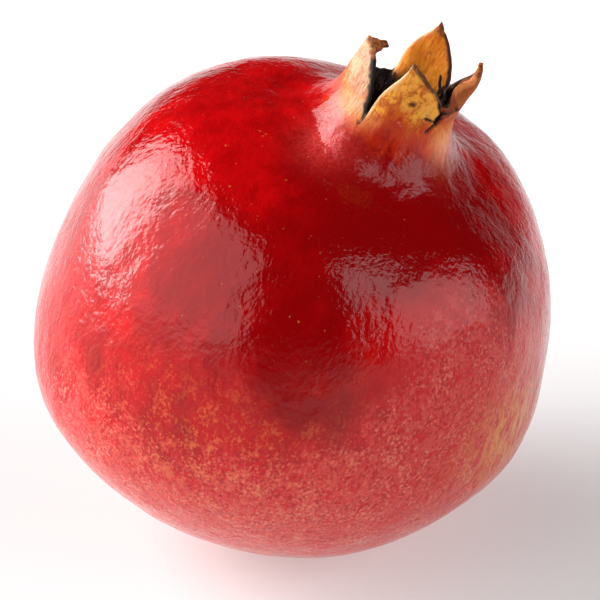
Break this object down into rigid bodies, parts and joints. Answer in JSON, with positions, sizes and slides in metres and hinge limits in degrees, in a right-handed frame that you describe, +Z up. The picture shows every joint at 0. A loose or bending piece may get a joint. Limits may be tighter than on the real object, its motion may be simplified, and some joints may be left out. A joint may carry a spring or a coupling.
{
  "type": "pomegranate",
  "caption": "Whole ripe pomegranate leaning on a small flat spot, with an open calyx crown of uneven dried lobes, a tuft of dried stamens and a cut stalk stub.",
  "frame": {"origin": "on the small flat spot that the fruit rests on, straight below the middle of its body", "axes": "+Z up, -Y towards the side that faces the viewer; the crown leans up and over towards +X and a little towards -Y"},
  "size_m": [0.0961, 0.0928, 0.1054],
  "materials": {
    "rind": "waxy, fairly glossy crimson rind with a fine leathery grain, yellow flecks low down and orange to tan calyx lobes",
    "dried_stamens": "matt dry dark brown fibres",
    "woody_stalk": "matt rough dry wood"
  },
  "bodies": {
    "root": {"fruit": "rind", "stamens": "dried_stamens", "stalk": "woody_stalk"}
  },
  "joints": []
}
